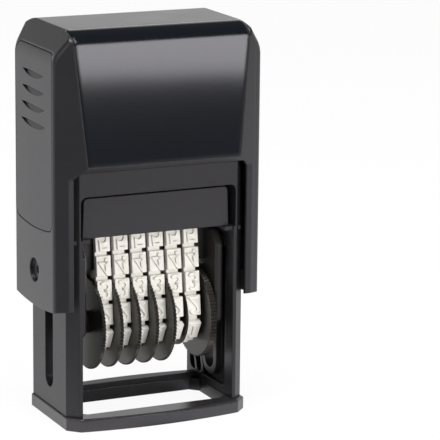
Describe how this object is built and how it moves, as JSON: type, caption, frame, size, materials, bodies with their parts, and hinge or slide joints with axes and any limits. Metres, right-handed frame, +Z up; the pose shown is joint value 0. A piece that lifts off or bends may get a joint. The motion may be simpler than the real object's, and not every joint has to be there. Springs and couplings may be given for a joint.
{
  "type": "numbering machine",
  "caption": "Self-inking hand number stamp: a sprung cap slides down over a slotted base and flips a carriage of numeral bands, set by thumbwheels, from the ink pad to the paper.",
  "frame": {"origin": "centre of the foot's underside, where the stamp stands on the paper", "axes": "+X to the stamp's right along the printed line, +Y to the back, +Z up; the glossy window faces -Y"},
  "size_m": [0.0428, 0.0268, 0.077],
  "materials": {
    "cap_black": "satin fine grain",
    "frame_black": "satin",
    "window_gloss": "polished",
    "grip_black": "fine grain",
    "cassette_black": "satin",
    "pad_felt": "inked felt",
    "pin_black": "satin",
    "carriage_black": "satin",
    "wheel_black": "satin",
    "band_rubber": "matte moulded",
    "axle_steel": "ground",
    "spring_steel": "bright"
  },
  "bodies": {
    "base": {"base_frame": "frame_black", "foot_frame": "frame_black", "pad_cassette": "cassette_black", "ink_pad": "pad_felt", "return_spring": "spring_steel"},
    "cap": {"cap_shell": "cap_black", "index_window": "window_gloss", "grip_panel_left": "grip_black", "grip_panel_right": "grip_black", "pivot_pin_left": "pin_black", "pivot_pin_right": "pin_black"},
    "carriage": {"cheek_left": "carriage_black", "cheek_right": "carriage_black", "type_platen": "carriage_black", "wheel_axle": "axle_steel", "index_spring": "spring_steel", "number_band_1": "band_rubber", "number_band_2": "band_rubber", "number_band_3": "band_rubber", "number_band_4": "band_rubber", "number_band_5": "band_rubber", "number_band_6": "band_rubber"},
    "wheel_1": {"thumbwheel_1": "wheel_black"},
    "wheel_2": {"thumbwheel_2": "wheel_black"},
    "wheel_3": {"thumbwheel_3": "wheel_black"},
    "wheel_4": {"thumbwheel_4": "wheel_black"},
    "wheel_5": {"thumbwheel_5": "wheel_black"},
    "wheel_6": {"thumbwheel_6": "wheel_black"}
  },
  "joints": [
    {"name": "cap_press", "type": "slide", "parent": "base", "child": "cap", "axis": [0, 0, -1], "range_m": [0, 0.0207], "stiffness_N_per_m": 450, "springref_m": -0.008, "deforming": ["return_spring"]},
    {"name": "carriage_flip", "type": "hinge", "parent": "cap", "child": "carriage", "pos_m": [0, 0, 0.0298], "axis": [-1, 0, 0], "range_deg": [0, 180]},
    {"name": "wheel_1_turn", "type": "hinge", "parent": "carriage", "child": "wheel_1", "pos_m": [0, 0, 0.0183], "axis": [1, 0, 0], "continuous": true},
    {"name": "wheel_2_turn", "type": "hinge", "parent": "carriage", "child": "wheel_2", "pos_m": [0, 0, 0.0183], "axis": [1, 0, 0], "continuous": true},
    {"name": "wheel_3_turn", "type": "hinge", "parent": "carriage", "child": "wheel_3", "pos_m": [0, 0, 0.0183], "axis": [1, 0, 0], "continuous": true},
    {"name": "wheel_4_turn", "type": "hinge", "parent": "carriage", "child": "wheel_4", "pos_m": [0, 0, 0.0183], "axis": [1, 0, 0], "continuous": true},
    {"name": "wheel_5_turn", "type": "hinge", "parent": "carriage", "child": "wheel_5", "pos_m": [0, 0, 0.0183], "axis": [1, 0, 0], "continuous": true},
    {"name": "wheel_6_turn", "type": "hinge", "parent": "carriage", "child": "wheel_6", "pos_m": [0, 0, 0.0183], "axis": [1, 0, 0], "continuous": true}
  ],
  "couplings": [
    {"joint": "carriage_flip", "follows": "cap_press", "rad_per_m": 151.76}
  ]
}
